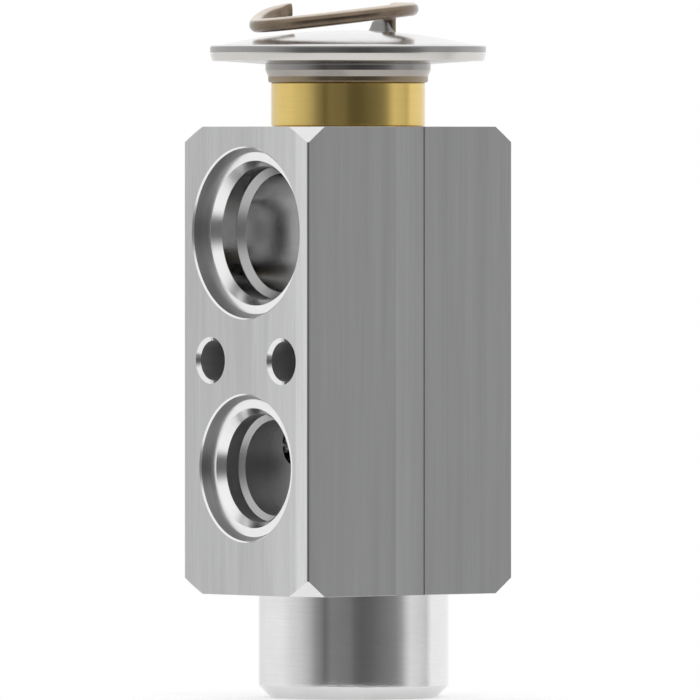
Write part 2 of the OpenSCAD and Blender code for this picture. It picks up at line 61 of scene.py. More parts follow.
# Less than the step from the bar's flat sides to their rounded edges, so that the sides stay flat
FLAT_ANGLE = 8
# Edges of the bar that turn more than this are broken a little
CRISP_ANGLE = 32
mounts = {m["name"]: m for m in frame["record"]["mounts"]}


def place(name):
    return Vector(mounts[name]["pos_m"])


def radius(name, key="r_mm"):
    return mounts[name]["dims"][key] * MM


# Levels and sizes that the frame gives
block_low, block_high = (Vector(c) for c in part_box("valve_block"))
hub_high = Vector(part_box("power_hub")[1])
shell_low, shell_high = (Vector(c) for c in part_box("lower_shell"))
cap_low = Vector(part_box("upper_shell")[0])
screw_low, screw_high = (Vector(c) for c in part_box("adjusting_screw"))
ring_low, ring_high = (Vector(c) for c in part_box("orifice_ring"))
rod_low, rod_high = (Vector(c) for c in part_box("sensing_rod"))
hub_seal_low, hub_seal_high = (Vector(c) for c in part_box("hub_seal"))
rod_seal_low = Vector(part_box("rod_seal")[0])
spring_low, spring_high = (Vector(c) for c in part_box("control_spring"))

face_x = block_high.x
face_y = block_high.y
block_top = block_high.z
suction = place("suction_port_front")
outlet = place("outlet_port")
inlet = place("inlet_port")
bolts = place("fixing_holes")
clamp = place("clamp_thread")

# Sizes of the bar and its drillings, as the CAD model has them
block_foot = 14.7 * MM
boss_r = 13.45 * MM
boss_shift = 1.0 * MM
boss_chamfer = 1.7 * MM
edge_r = 0.3 * MM
corner_trim = 2.2 * MM
channel_w = 5.1 * MM
channel_t = 0.15 * MM
channel_flare = 1.06
suction_r = 8.4 * MM
suction_pipe_l = 5.8 * MM
suction_seal_r = 12.1 * MM
suction_seal_l = 1.8 * MM
suction_cone_l = 1.4 * MM
suction_shoulder_l = 0.9 * MM
outlet_r = 6.75 * MM
outlet_l = 9.0 * MM
outlet_pipe_l = 4.8 * MM
outlet_seal_r = 10.4 * MM
outlet_cone_l = 1.2 * MM
outlet_shoulder_l = 0.5 * MM
inlet_pipe_l = 9.0 * MM
inlet_seal_r = 8.2 * MM
liquid_seal_l = 1.4 * MM
inlet_drill_r = 2.8 * MM
drill_drop = 1.6 * MM
crossing_r = 3.0 * MM
crossing_rise = 3.2 * MM
mouth_taper = 0.7 * MM
cone_t = 0.8 * MM
inlet_cone = 0.3 * MM
chamber_r = 6.9 * MM
room_r = 4.0 * MM
room_h = 7.0 * MM
pocket_r = 4.0 * MM
stem_bore_r = 1.55 * MM
hub_bore_r = 6.5 * MM
hub_seat_r = 9.05 * MM
spigot_room = 6.1 * MM
bolt_chamfer = 0.5 * MM

# Threads, fine edges, and how far a cutter reaches past what it cuts
pitch = 1.0 * MM
thread_h = 0.5 * MM
thread_root_r = 7.6 * MM
boss_thread_l = 8.5 * MM
clamp_thread_h = 0.55 * MM
crisp_edge = 0.03 * MM
burr = 0.1 * MM
burr_l = 0.22 * MM
past = 1 * MM

# The capillary's route: the CAD model's, with the loop a little lower at its front
loop_r = 11 * MM
loop_shift = 2 * MM
loop_rise = 3 * MM
loop_dip = 2.35 * MM
loop_low = -160
tail_from = -170
tail_to = -232
tail_rise = 2.05 * MM
loop_turn = 51
loop_start = 30
loop_end = -236
join_gap = 1 * MM
elbow_r = 1.7 * MM
tube_r = 0.975 * MM
pinch_l = 2.6 * MM
pinch_thin = 0.55
pinch_wide = 0.25

# The power head, the screw and the coil
collar_r = 10.9 * MM
collar_foot = 0.2 * MM
collar_edge = 0.12 * MM
spigot_r = 9.0 * MM
spigot_l = 5.6 * MM
hub_bore_inner_r = 6.2 * MM
lip_r = 6.98 * MM
neck_r = 11.3 * MM
head_r = 19.5 * MM
sheet_t = 1.05 * MM
rim_z = shell_high.z - sheet_t
rim_round = 0.42 * MM
rim_lean = 0.3 * MM
rim_drop = 0.45 * MM
clamp_w = 1.5 * MM
step_t = 0.4 * MM
step_h = 0.9 * MM
foot_bend = 0.3 * MM
neck_bend = 0.35 * MM
step_low = shell_low.z + (rim_z - rim_drop - neck_bend - step_h - shell_low.z) / 2 + 0.2 * MM
dome_h = 2.1 * MM
dome_foot_r = 18.0 * MM
screw_thread_l = 5.5 * MM
groove_w = 1.8 * MM
groove_lip = 0.9 * MM
groove_r = 5.4 * MM
socket_across = 8 * MM
socket_l = 5 * MM
wire_r = 0.6 * MM
spring_turns = 6

# The photograph's view, from just under the top of the bar
towards_camera = Vector((0.779, -0.627, 0)).normalized()
to_the_right = Vector((0.627, 0.779, 0)).normalized()
camera_distance = 2.4
camera_height = 80.6 * MM
camera_lens = 873
aim_height = 49.1 * MM
aim_right = 0.27 * MM

# The studio round the object: the card fades out above and below, in metres from its middle
floor_r = 32 * MM
floor_glow = 0.3
card_r = 3
card_h = 5
fade_above = (0.25, 1.7)
fade_below = (-0.8, -1.8)

# Painted light and shade across the plain sides (with their channels) and across the port faces,
# by millimetres from the middle: painted shade towards the sides' -Y edges, a painted lighter strip
# along each channel, and a painted highlight towards the port faces' +X edges
side_half_w = 18.5
face_half_w = 14
SIDE_PAINTED_LIGHT = (
    (-18.5, 0.81), (-15, 0.865), (-2.57, 0.87), (-2.53, 1.0), (2.53, 0.9), (2.57, 0.87), (18.5, 0.87),
)
FACE_PAINTED_LIGHT = ((-14, 0.71), (4, 0.73), (8.9, 0.81), (11.0, 0.84), (11.5, 0.95), (13.2, 1.0))

# How bright the card is round the object, by the angle to the camera's side
CARD_LEVELS = (
    (-153, 0.85), (-131, 0.94), (-97, 0.93), (-82, 0.79), (-68, 0.69), (-55, 0.5), (-47, 0.32),
    (-39, 0.22), (-35, 0.16), (-27, 0.235), (-5, 0.2), (2, 0.14), (10, 0.12), (21, 0.135),
    (44, 0.22), (52, 0.26), (60, 0.38), (69, 0.7), (74, 0.81), (88, 0.74), (99, 0.65), (109, 1.0),
)


def rest_selection():
    if bpy.context.mode != "OBJECT":
        bpy.ops.object.mode_set(mode="OBJECT")
    bpy.ops.object.select_all(action="DESELECT")


def only(piece):
    rest_selection()
    piece.select_set(True)
    bpy.context.view_layer.objects.active = piece


def corner(previous, here, following, r, segments):
    """Points of a fillet of radius r at a corner of an outline."""
    a = (Vector(previous) - Vector(here)).normalized()
    b = (Vector(following) - Vector(here)).normalized()
    half = a.angle(b) / 2
    reach = r / math.tan(half)
    middle = (a + b).normalized()
    centre = Vector(here) + middle * (r / math.sin(half))
    start = Vector(here) + a * reach - centre
    end = Vector(here) + b * reach - centre
    turn = start.angle(end)
    axis = start.cross(end).normalized()
    return [
        centre + Matrix.Rotation(turn * i / segments, 3, axis) @ start
        for i in range(segments + 1)
    ]


def outline(corners, segments=6, closed=False):
    """Outline in the XZ plane from corners (r, z) or (r, z, fillet)."""
    points = [Vector((c[0], 0, c[1])) for c in corners]
    result = []
    for i, c in enumerate(corners):
        ends = not closed and i in (0, len(corners) - 1)
        if len(c) == 2 or ends:
            result.append(points[i])
            continue
        before = points[i - 1]
        after = points[(i + 1) % len(points)]
        result += corner(before, points[i], after, c[2], segments)
    return result


def lathe(name, corners, closed=False, segments=6, steps=ROUND_STEPS):
    """Draw an outline point by point and spin it about the Z axis."""
    points = outline(corners, segments, closed)
    rest_selection()
    bpy.ops.mesh.primitive_plane_add(size=MM, location=(0, 0, 0))
    piece = bpy.context.object
    piece.name = piece.data.name = name
    bpy.ops.object.mode_set(mode="EDIT")
    bpy.ops.mesh.select_all(action="SELECT")
    bpy.ops.mesh.merge(type="CENTER")
    bpy.ops.transform.translate(value=points[0])
    for a, b in zip(points, points[1:]):
        bpy.ops.mesh.extrude_vertices_move(TRANSFORM_OT_translate={"value": b - a})
    if closed:
        bpy.ops.mesh.extrude_vertices_move(TRANSFORM_OT_translate={"value": points[0] - points[-1]})
    bpy.ops.mesh.select_all(action="SELECT")
    bpy.ops.mesh.remove_doubles(threshold=WELD)
    bpy.ops.mesh.select_all(action="SELECT")
    bpy.ops.mesh.spin(steps=steps, angle=math.tau, center=(0, 0, 0), axis=(0, 0, 1))
    bpy.ops.mesh.select_all(action="SELECT")
    bpy.ops.mesh.remove_doubles(threshold=WELD)
    bpy.ops.mesh.normals_make_consistent(inside=False)
    bpy.ops.object.mode_set(mode="OBJECT")
    return piece


def lay(piece, towards, at):
    """Turn a piece's +Z to a direction and move it there, in its mesh."""
    turn = Vector((0, 0, 1)).rotation_difference(Vector(towards)).to_matrix().to_4x4()
    piece.matrix_world = Matrix.Translation(at) @ turn
    only(piece)
    bpy.ops.object.transform_apply(location=True, rotation=True, scale=True)
    return piece


def boolean(piece, other, operation):
    only(piece)
    cut = piece.modifiers.new("cut", "BOOLEAN")
    cut.operation = operation
    cut.solver = "EXACT"
    cut.object = other
    bpy.ops.object.modifier_apply(modifier=cut.name)
    bpy.data.objects.remove(other)
    return piece


def smooth(piece, degrees=SMOOTH_ANGLE):
    only(piece)
    bpy.ops.object.shade_smooth_by_angle(angle=math.radians(degrees))
    return piece


def port_steps(seal_r, seal_l, cone, cone_l, pipe_r, pipe_l, bore_r, shoulder_l):
    """Steps of a port's cutter, from above the face (z = 0) down to its bore."""
    return [
        (seal_r + burr + past, past),
        (seal_r + burr, 0),
        (seal_r + burr - burr_l, -burr_l),
        (seal_r - mouth_taper, -seal_l),
        (pipe_r + cone, -seal_l),
        (pipe_r, -seal_l - cone_l),
        (pipe_r, -pipe_l, 0.1 * MM),
        (bore_r, -pipe_l - shoulder_l),
    ]


def make_bar():
    """The bar with rounded long edges, turned corners and its boss."""
    rest_selection()
    middle = (block_foot + block_top) / 2
    bpy.ops.mesh.primitive_cube_add(size=1, location=(0, 0, middle))
    bar = bpy.context.object
    bar.name = bar.data.name = "block_body"
    bar.scale = (2 * face_x, 2 * face_y, block_top - block_foot)
    bpy.ops.object.transform_apply(location=True, rotation=True, scale=True)
    bpy.ops.object.mode_set(mode="EDIT")
    bpy.ops.mesh.select_mode(type="EDGE")
    bpy.ops.mesh.select_all(action="DESELECT")
    bpy.ops.object.mode_set(mode="OBJECT")
    for e in bar.data.edges:
        a, b = (bar.data.vertices[i].co for i in e.vertices)
        e.select = abs(a.z - b.z) > MM
    bpy.ops.object.mode_set(mode="EDIT")
    bpy.ops.mesh.bevel(offset=edge_r, segments=5, affect="EDGES")
    bpy.ops.mesh.select_mode(type="VERT")
    bpy.ops.object.mode_set(mode="OBJECT")
    reach = math.hypot(face_x - edge_r, face_y - edge_r) + edge_r
    far = 2 * past
    trim = lathe("trim", [
        (0, block_foot - far),
        (reach - corner_trim - far, block_foot - far),
        (reach - corner_trim, block_foot),
        (reach + far, block_foot + corner_trim + far),
        (reach + far, block_top - corner_trim - far),
        (reach - corner_trim, block_top),
        (reach - corner_trim - far, block_top + far),
        (0, block_top + far),
    ], steps=192)
    boolean(bar, trim, "INTERSECT")
    only(bar)
    bevel = bar.modifiers.new("edges", "BEVEL")
    bevel.width = crisp_edge
    bevel.segments = 2
    bevel.limit_method = "ANGLE"
    bevel.angle_limit = math.radians(CRISP_ANGLE)
    bpy.ops.object.modifier_apply(modifier=bevel.name)
    for side in (-1, 1):
        bpy.ops.mesh.primitive_cube_add(size=1, location=(side * face_x, 0, middle))
        channel = bpy.context.object
        channel.scale = (2 * channel_t, channel_w, block_top)
        bpy.ops.object.transform_apply(location=True, rotation=True, scale=True)
        for v in channel.data.vertices:
            if abs(v.co.x) > face_x:
                v.co.y *= channel_flare
        boolean(bar, channel, "DIFFERENCE")
    boss = lathe("boss", [
        (0, 0),
        (boss_r - boss_chamfer, 0, 0.1 * MM),
        (boss_r, boss_chamfer, 0.2 * MM),
        (boss_r, block_foot + far),
        (0, block_foot + far),
    ])
    lay(boss, (0, 0, 1), (0, boss_shift, 0))
    return boolean(bar, boss, "UNION")


def axis_cutter():
    """The drillings on the valve's own axis as one stepped body."""
    thread_top = block_low.z + boss_thread_l
    chamber_top = ring_low.z
    room_top = ring_high.z + room_h
    pocket_floor = rod_seal_low.z - 0.02 * MM
    seat_floor = block_top - spigot_room
    seal_floor = hub_seal_low.z - 0.02 * MM
    ring_r = ring_high.x
    seal_r = hub_seal_high.x + 0.05 * MM
    return lathe("axis_bores", [
        (0, -past),
        (thread_root_r + past + 0.8 * MM, -past),
        (thread_root_r, 0.8 * MM),
        (thread_root_r, thread_top),
        (chamber_r + 0.2 * MM, thread_top),
        (chamber_r, thread_top + 0.2 * MM),
        (chamber_r, chamber_top),
        (ring_r, chamber_top),
        (ring_r, ring_high.z),
        (room_r, ring_high.z),
        (room_r, room_top),
        (stem_bore_r, room_top),
        (stem_bore_r, pocket_floor),
        (pocket_r, pocket_floor),
        (pocket_r, suction.z - 5 * MM),
        (pocket_r + 0.1 * MM, suction.z),
        (hub_bore_r, suction.z + 0.1 * MM),
        (hub_bore_r, seat_floor),
        (hub_seat_r, seat_floor),
        (hub_seat_r, seal_floor),
        (seal_r, seal_floor),
        (seal_r, block_top),
        (seal_r + past, block_top + past),
        (0, block_top + past),
    ])


def through_hole(name, r, chamfer):
    """Cutter of a hole through both port faces, chamfered at its mouths."""
    return lathe(name, [
        (0, -face_y - past),
        (r + chamfer + past, -face_y - past),
        (r, -face_y + chamfer),
        (r, face_y - chamfer),
        (r + chamfer + past, face_y + past),
        (0, face_y + past),
    ], steps=64)


def mirrored(steps):
    """Steps from a face, for the far face as well, about z = 0."""
    near = [(c[0], c[1] + face_y, *c[2:]) for c in steps]
    far = [(c[0], -c[1] - face_y, *c[2:]) for c in reversed(steps)]
    return near + far


def make_block():
    block = make_bar()
    steps = mirrored(port_steps(
        suction_seal_r, suction_seal_l, cone_t, suction_cone_l,
        radius("suction_port_front"), suction_pipe_l, suction_r, suction_shoulder_l))
    cutter = lathe("suction", [(0, face_y + past)] + steps + [(0, -face_y - past)])
    boolean(block, lay(cutter, (0, 1, 0), (0, 0, suction.z)), "DIFFERENCE")
    steps = port_steps(
        outlet_seal_r, liquid_seal_l, cone_t, outlet_cone_l,
        radius("outlet_port"), outlet_pipe_l, outlet_r, outlet_shoulder_l)
    cutter = lathe("outlet", [(0, past)] + steps + [(outlet_r, -outlet_l), (0, -outlet_l)])
    boolean(block, lay(cutter, (0, -1, 0), (0, -face_y, outlet.z)), "DIFFERENCE")
    steps = port_steps(
        inlet_seal_r, liquid_seal_l, inlet_cone, inlet_cone,
        radius("inlet_port"), inlet_pipe_l, 0, 0)
    cutter = lathe("inlet", [(0, past)] + steps)
    boolean(block, lay(cutter, (0, 1, 0), (0, face_y, inlet.z)), "DIFFERENCE")
    for x in (-1, 1):
        cutter = through_hole("bolt", radius("fixing_holes", "hole_r_mm"), bolt_chamfer)
        at = (x * mounts["fixing_holes"]["dims"]["spacing_x_mm"] / 2 * MM, 0, bolts.z)
        boolean(block, lay(cutter, (0, 1, 0), at), "DIFFERENCE")
    clamp_l = mounts["clamp_thread"]["dims"]["length_mm"] * MM
    root = radius("clamp_thread") + clamp_thread_h
    cutter = lathe("clamp", [
        (0, past), (root + 0.2 * MM + past, past), (root, -0.2 * MM),
        (root, -clamp_l), (0, -clamp_l),
    ], steps=64)
    boolean(block, lay(cutter, (0, 1, 0), (0, face_y, clamp.z)), "DIFFERENCE")
    boolean(block, axis_cutter(), "DIFFERENCE")
    for name, r, reach, side, z in (
            ("crossing", crossing_r, outlet_l, -1, outlet.z + crossing_rise),
            ("drilling", inlet_drill_r, inlet_pipe_l, 1, inlet.z - drill_drop)):
        length = face_y - reach + past
        cutter = lathe(name, [(0, 0), (r, 0), (r, length), (0, length)], steps=64)
        boolean(block, lay(cutter, (0, side, 0), (0, 0, z)), "DIFFERENCE")
    return smooth(block, FLAT_ANGLE)


def thread(name, base_r, crest_r, low, high, phase=0.0):
    """Ridge of a screw thread about +Z, from its base radius to its crest."""
    rest_selection()
    bpy.ops.mesh.primitive_circle_add(vertices=4, radius=pitch / 4, fill_type="NOTHING")
    ridge = bpy.context.object
    ridge.name = ridge.data.name = name
    half_base = 0.4 * pitch
    half_crest = 0.07 * pitch
    section = [(base_r, -half_base), (crest_r, -half_crest), (crest_r, half_crest), (base_r, half_base)]
    for v, (r, z) in zip(ridge.data.vertices, section):
        v.co = (r, 0, low + half_base + z)
    turns = (high - low - 2 * half_base) / pitch
    screw = ridge.modifiers.new("turns", "SCREW")
    screw.axis = "Z"
    screw.angle = math.tau * turns
    screw.screw_offset = pitch * turns
    screw.steps = screw.render_steps = int(48 * turns)
    only(ridge)
    bpy.ops.object.modifier_apply(modifier=screw.name)
    bpy.ops.object.mode_set(mode="EDIT")
    bpy.ops.mesh.select_all(action="DESELECT")
    bpy.ops.mesh.select_mode(type="EDGE")
    bpy.ops.mesh.select_non_manifold()
    bpy.ops.mesh.fill_holes(sides=4)
    bpy.ops.mesh.select_all(action="SELECT")
    bpy.ops.mesh.normals_make_consistent(inside=False)
    bpy.ops.mesh.select_mode(type="VERT")
    bpy.ops.object.mode_set(mode="OBJECT")
    ridge.rotation_euler = (0, 0, phase)
    bpy.ops.object.transform_apply(location=True, rotation=True, scale=True)
    return smooth(ridge)


def swept(name, route, r, around):
    """Round wire or tube along a route of points."""
    rest_selection()
    wire = bpy.data.curves.new(name, "CURVE")
    wire.dimensions = "3D"
    spline = wire.splines.new("POLY")
    spline.points.add(len(route) - 1)
    for point, at in zip(spline.points, route):
        point.co = (*at, 1)
    wire.bevel_depth = r
    wire.bevel_resolution = around
    wire.use_fill_caps = True
    piece = bpy.data.objects.new(name, wire)
    bpy.context.collection.objects.link(piece)
    only(piece)
    bpy.ops.object.convert(target="MESH")
    piece = bpy.context.object
    bpy.ops.object.mode_set(mode="EDIT")
    bpy.ops.mesh.select_all(action="SELECT")
    bpy.ops.mesh.remove_doubles(threshold=WELD)
    bpy.ops.mesh.normals_make_consistent(inside=False)
    bpy.ops.object.mode_set(mode="OBJECT")
    return smooth(piece, 50)


def ease(t):
    t = min(1.0, max(0.0, t))
    return t * t * (3 - 2 * t)


def dome_level(r):
    """Height of the dome above its rim at radius r."""
    return dome_h * (1 - (r / dome_foot_r) ** 2)


def dome_surface(at):
    """Level of the dome's outside at a place."""
    return cap_low.z + sheet_t + dome_level(math.hypot(at.x, at.y))


def tube_route():
    """Route of the capillary: a riser, an elbow, then the loop."""
    loop_z = cap_low.z + sheet_t + dome_h + loop_rise

    def loop_point(a):
        r = loop_r - join_gap + join_gap * ease((loop_start - a) / loop_start)
        if a >= 0:
            z = loop_z
        elif a >= loop_low:
            z = loop_z - loop_dip * (1 - math.cos(math.pi * a / loop_low)) / 2
        else:
            z = loop_z - loop_dip + tail_rise * ease((a - tail_from) / (tail_to - tail_from))
        turn = math.radians(a)
        return Vector((r * math.cos(turn) - loop_shift, r * math.sin(turn), z))

    heading = (loop_point(loop_start - 1) - loop_point(loop_start)).normalized()
    foot = loop_point(loop_start) - elbow_r * heading - Vector((0, 0, elbow_r))
    riser_foot = dome_surface(foot) - sheet_t / 2
    route = [Vector((foot.x, foot.y, riser_foot + t * (foot.z - riser_foot)))
             for t in (0, 0.33, 0.66)]
    for b in range(0, 90, 9):
        turn = math.radians(b)
        route.append(foot + elbow_r * ((1 - math.cos(turn)) * heading + Vector((0, 0, math.sin(turn)))))
    steps = 90
    route += [loop_point(loop_start + (loop_end - loop_start) * i / steps) for i in range(steps + 1)]
    turn = Matrix.Rotation(math.radians(loop_turn), 3, "Z")
    return [turn @ p for p in route]


def join(piece, *others):
    only(piece)
    for other in others:
        other.select_set(True)
    bpy.ops.object.join()
    return piece


def make_collar():
    """Round brass collar with its threaded spigot."""
    foot = block_top - spigot_l
    hub_top = shell_low.z
    root = spigot_r - thread_h
    collar = lathe("collar_body", [
        (hub_bore_inner_r, foot, 0.2 * MM),
        (root - 0.2 * MM, foot),
        (root, foot + 0.2 * MM),
        (root, block_top - 0.6 * MM),
        (spigot_r - 0.1 * MM, block_top - 0.4 * MM),
        (spigot_r - 0.1 * MM, block_top),
        (collar_r - collar_foot, block_top, 0.03 * MM),
        (collar_r, block_top + collar_foot, 0.05 * MM),
        (collar_r, hub_top - collar_edge, 0.03 * MM),
        (collar_r - collar_edge, hub_top, 0.03 * MM),
        (lip_r, hub_top),
        (lip_r, hub_high.z, 0.1 * MM),
        (hub_bore_inner_r, hub_high.z, 0.1 * MM),
    ], closed=True)
    smooth(collar)
    ridge = thread("spigot_thread", root - 0.1 * MM, spigot_r, foot + 0.1 * MM, block_top - 0.5 * MM)
    return join(collar, ridge)


def make_lower_shell():
    """Pressed shell: a lip over the collar, a neck and the lower half of the rim."""
    inner_r = neck_r - sheet_t
    flat_r = head_r - clamp_w
    rim_top = shell_high.z
    return smooth(lathe("neck_shell", [
        (lip_r + 0.02 * MM, shell_low.z, 0.15 * MM),
        (neck_r, shell_low.z, foot_bend),
        (neck_r, step_low, 0.15 * MM),
        (neck_r + step_t, step_low + step_h, 0.15 * MM),
        (neck_r + step_t, rim_z - rim_drop, 0.1 * MM),
        (flat_r, rim_z, 2 * MM),
        (head_r - rim_lean, rim_z, rim_round / 2),
        (head_r, rim_top),
        (flat_r, rim_top),
        (inner_r, rim_top - rim_drop, neck_bend),
        (inner_r, shell_low.z + sheet_t, 0.3 * MM),
        (lip_r + 0.02 * MM, shell_low.z + sheet_t, 0.15 * MM),
    ], closed=True, segments=8))


def make_dome():
    """Pressed dome: the upper half of the rim and a shallow dome with the tube's hole."""
    rise_steps = 36
    rim_top = cap_low.z + sheet_t
    over_r = [dome_foot_r * (1 - i / rise_steps) for i in range(rise_steps + 1)]
    upper = [(r, rim_top + dome_level(r)) for r in over_r]
    under = [(r, cap_low.z + dome_level(r)) for r in reversed(over_r)]
    dome = lathe("dome_shell", [
        *under, (head_r, cap_low.z), (head_r, rim_top, rim_round), *upper,
    ], segments=8)
    foot = tube_route()[0]
    hole = lathe("hole", [(0, 0), (tube_r, 0), (tube_r, 3 * sheet_t), (0, 3 * sheet_t)], steps=48)
    lay(hole, (0, 0, 1), (foot.x, foot.y, dome_surface(foot) - 2 * sheet_t))
    boolean(dome, hole, "DIFFERENCE")
    return smooth(dome, 20)


def make_solder():
    """Lump of solder between the dome and the tube, more of it on the tube's left."""
    shift = 1.05 * MM
    foot = tube_route()[0]
    level = dome_surface(foot)
    lump = lathe("solder_lump", [
        (0, level - 0.7 * MM),
        (2.7 * MM, level - 0.7 * MM),
        (2.6 * MM, level - 0.15 * MM, 0.1 * MM),
        (2.0 * MM, level + 0.2 * MM, 0.4 * MM),
        (1.65 * MM, level + 0.9 * MM, 0.5 * MM),
        (1.35 * MM, level + 1.7 * MM, 0.5 * MM),
        (0.7 * MM, level + 2.15 * MM, 0.3 * MM),
        (0, level + 2.2 * MM),
    ], steps=48)
    return smooth(lay(lump, (0, 0, 1), Vector((foot.x, foot.y, 0)) - shift * to_the_right), 60)


def make_tube():
    """The capillary, with its end pinched flat."""
    route = tube_route()
    tube = swept("tube_body", route, tube_r, 10)
    end = route[-1]
    along = (route[-1] - route[-2]).normalized()
    level = Vector((0, 0, 1))
    level = (level - level.dot(along) * along).normalized()
    side = along.cross(level)
    for v in tube.data.vertices:
        offset = v.co - end
        back = -offset.dot(along)
        if offset.length > 3 * MM:
            continue
        pinch = ease(1 - back / pinch_l)
        centre = end - back * along
        off = v.co - centre
        v.co += (-pinch_thin * pinch * off.dot(side)) * side
        v.co += (pinch_wide * pinch * off.dot(level)) * level
    return tube


def make_rod():
    """The sensing rod: a stout head over a thin stem and tip."""
    tip_r = 1.0 * MM
    stem_r = 1.5 * MM
    rod_r = rod_high.x
    tip_top = ring_high.z + 1.5 * MM
    step = suction.z - suction_r + 2.2 * MM
    return smooth(lathe("rod_body", [
        (0, rod_low.z),
        (tip_r - 0.2 * MM, rod_low.z, 0.08 * MM),
        (tip_r, rod_low.z + 0.18 * MM, 0.08 * MM),
        (tip_r, tip_top),
        (stem_r, tip_top + 0.6 * MM),
        (stem_r, step, 0.12 * MM),
        (rod_r - 0.5 * MM, step, 0.08 * MM),
        (rod_r, step + 0.5 * MM, 0.12 * MM),
        (rod_r, rod_high.z - 0.3 * MM, 0.1 * MM),
        (rod_r - 0.3 * MM, rod_high.z, 0.1 * MM),
        (0, rod_high.z),
    ], steps=96))


def make_screw():
    """Adjusting screw: threaded below, a groove for its seal above, a hexagon socket."""
    low = screw_low.z
    high = screw_high.z
    thread_top = low + screw_thread_l
    root = screw_high.x - thread_h
    neck = chamber_r - 0.05 * MM
    groove_top = high - groove_lip
    groove_low = groove_top - groove_w
    screw = lathe("screw_body", [
        (0, low),
        (root - 0.6 * MM, low, 0.1 * MM),
        (root, low + 0.6 * MM, 0.1 * MM),
        (root, thread_top),
        (neck, thread_top + 0.02 * MM),
        (neck, groove_low, 0.08 * MM),
        (groove_r, groove_low, 0.15 * MM),
        (groove_r, groove_top, 0.15 * MM),
        (neck, groove_top, 0.08 * MM),
        (neck, high - 0.3 * MM, 0.08 * MM),
        (neck - 0.3 * MM, high, 0.08 * MM),
        (0, high),
    ])
    corner_r = socket_across / 2 / math.cos(math.pi / 6)
    socket = lathe("socket", [(0, low - past), (corner_r, low - past), (corner_r, low + socket_l),
                              (0, low + socket_l)], steps=6)
    boolean(screw, socket, "DIFFERENCE")
    funnel = lathe("funnel", [(0, low - past), (corner_r + past + 0.1 * MM, low - past),
                              (socket_across / 2 - 0.1 * MM, low + 0.6 * MM), (0, low + 0.6 * MM)])
    boolean(screw, funnel, "DIFFERENCE")
    smooth(screw)
    ridge = thread("screw_thread", root - 0.1 * MM, screw_high.x - 0.02 * MM, low + 0.1 * MM,
                   thread_top)
    return join(screw, ridge)


def make_coil(name, first_turn, last_turn):
    """A stretch of the control spring, with closed end turns as the CAD model has them."""
    r = spring_high.x - wire_r
    first = spring_low.z + wire_r
    last = spring_high.z - wire_r
    steps = 40
    route = []
    for i in range(steps * first_turn, steps * last_turn + 1):
        t = i / steps
        if t < 1:
            z = first + 2 * wire_r * t
        elif t > spring_turns - 1:
            z = last - 2 * wire_r * (spring_turns - t)
        else:
            share = (t - 1) / (spring_turns - 2)
            z = first + 2 * wire_r + (last - first - 4 * wire_r) * share
        route.append((r * math.cos(math.tau * t), r * math.sin(math.tau * t), z))
    return swept(name, route, 0.98 * wire_r, 6)


block = make_block()
lower_ridge = thread("boss_thread", thread_root_r + 0.1 * MM, thread_root_r - thread_h,
                     block_low.z + 0.7 * MM, block_low.z + boss_thread_l, math.pi)
upper_ridge = thread("hub_thread", hub_seat_r + 0.1 * MM, hub_seat_r - thread_h + 0.05 * MM,
                     block_top - spigot_l, block_top - 1.6 * MM, math.pi)
clamp_r = radius("clamp_thread")
clamp_ridge = thread("clamp_thread_ridge", clamp_r + clamp_thread_h + 0.1 * MM, clamp_r,
                     0.4 * MM, mounts["clamp_thread"]["dims"]["length_mm"] * MM)
lay(clamp_ridge, (0, -1, 0), (0, face_y, clamp.z))
join(block, lower_ridge, upper_ridge, clamp_ridge)
collar = make_collar()
neck_shell = make_lower_shell()
dome_shell = make_dome()
solder = make_solder()
tube = make_tube()
rod = make_rod()
screw = make_screw()
coil_foot = make_coil("coil_spring_foot", 0, spring_turns // 2)
coil_head = make_coil("coil_spring_head", spring_turns // 2, spring_turns)


# Finishes, some with painted light and shade. Each one is a set of shader nodes that read
# Object coordinates; the copper's painted highlight reads the Normal as well.
def add(finish, kind, inputs=None, **settings):
    """A shader node with its settings, its values and its links."""
    new = finish.node_tree.nodes.new(kind)
    for key, value in settings.items():
        setattr(new, key, value)
    for socket, value in (inputs or {}).items():
        if isinstance(value, bpy.types.NodeSocket):
            finish.node_tree.links.new(value, new.inputs[socket])
        else:
            new.inputs[socket].default_value = value
    return new


def material(name, colour, roughness, metallic=1.0):
    finish = bpy.data.materials.new(name)
    finish.use_nodes = True
    shader = finish.node_tree.nodes["Principled BSDF"]
    shader.inputs["Base Color"].default_value = (*colour, 1)
    shader.inputs["Roughness"].default_value = roughness
    shader.inputs["Metallic"].default_value = metallic
    return finish


def feed(finish, socket, value):
    finish.node_tree.links.new(value, finish.node_tree.nodes["Principled BSDF"].inputs[socket])


def drawn(finish, stretch, scale, detail=2.0):
    """Noise on Object coordinates: a small stretch draws its grain out along that axis."""
    coords = add(finish, "ShaderNodeTexCoord").outputs["Object"]
    mapped = add(finish, "ShaderNodeMapping", {"Vector": coords, "Scale": stretch})
    grain = add(finish, "ShaderNodeTexNoise", {
        "Vector": mapped.outputs[0], "Scale": scale, "Detail": detail, "Roughness": 0.6})
    return grain.outputs["Fac"]


